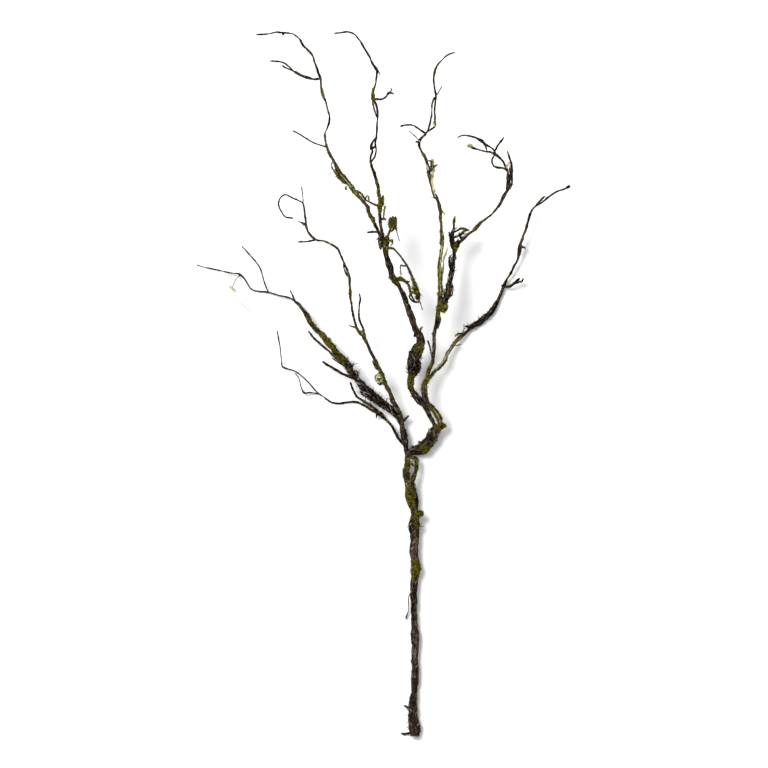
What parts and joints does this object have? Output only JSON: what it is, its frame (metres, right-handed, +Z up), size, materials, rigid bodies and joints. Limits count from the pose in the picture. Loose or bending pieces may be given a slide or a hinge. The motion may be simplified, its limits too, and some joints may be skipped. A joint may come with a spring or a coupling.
{
  "type": "mossy lichen-grown branch",
  "caption": "Long bare twisted branch with forked curling twigs, grown over with moss and lichen, cut at its foot and lying on its back.",
  "frame": {"origin": "on the surface that the branch lies on, under the middle of its overall box", "axes": "+Y along the stem from the cut foot to the twig tips, +X to the right seen from above with the foot towards the viewer, +Z up from the surface"},
  "size_m": [0.5261, 0.9878, 0.1064],
  "materials": {
    "bark": "rough, flaking dark bark",
    "mossy_bark": "bark with a thin olive film of moss and lichen",
    "twig_bark": "fine dark twig bark",
    "moss": "soft fibrous moss and crusty lichen, yellow-green"
  },
  "bodies": {
    "root": {"stem": "bark", "mossy_strand": "mossy_bark", "dark_strand": "bark", "foot_rootlet": "twig_bark", "foot_stub": "bark", "hanging_rootlet": "twig_bark", "left_limb": "bark", "left_stub": "bark", "low_arm": "bark", "low_arm_tip": "twig_bark", "low_arm_twig": "twig_bark", "low_arm_upper_side": "bark", "low_arm_lower_side": "bark", "tall_arm": "bark", "tall_arm_side": "twig_bark", "tall_arm_upper": "twig_bark", "tall_arm_spur": "twig_bark", "tall_arm_curl": "twig_bark", "dipping_arm": "bark", "dipping_arm_tip": "twig_bark", "dipping_arm_side": "twig_bark", "right_root": "mossy_bark", "front_strand": "mossy_bark", "back_strand": "bark", "middle_bough": "bark", "left_horn": "mossy_bark", "bough_stub": "bark", "left_horn_upper": "twig_bark", "left_horn_low_twig": "twig_bark", "left_horn_high_twig": "twig_bark", "right_horn": "mossy_bark", "horn_bridge": "twig_bark", "right_horn_left_ply": "twig_bark", "right_horn_right_ply": "twig_bark", "right_horn_upper": "twig_bark", "right_horn_twig": "twig_bark", "bush_twig": "mossy_bark", "drooping_twig": "mossy_bark", "drooping_side_twig": "mossy_bark", "right_bough": "bark", "right_bough_upper": "bark", "left_ply": "twig_bark", "right_ply": "twig_bark", "right_bough_twig": "twig_bark", "dark_bough": "bark", "dark_bough_upper": "mossy_bark", "dark_bough_twig": "twig_bark", "curling_arm": "bark", "curl_right_ply": "twig_bark", "curl_tip": "twig_bark", "curl_left_ply": "twig_bark", "curl_upper_ply": "twig_bark", "curl_spur": "twig_bark", "sweeping_arm": "bark", "sweeping_arm_side": "bark", "sweeping_arm_upper": "bark", "sweeping_arm_twig": "twig_bark", "sweeping_arm_spur": "twig_bark"}
  },
  "joints": []
}
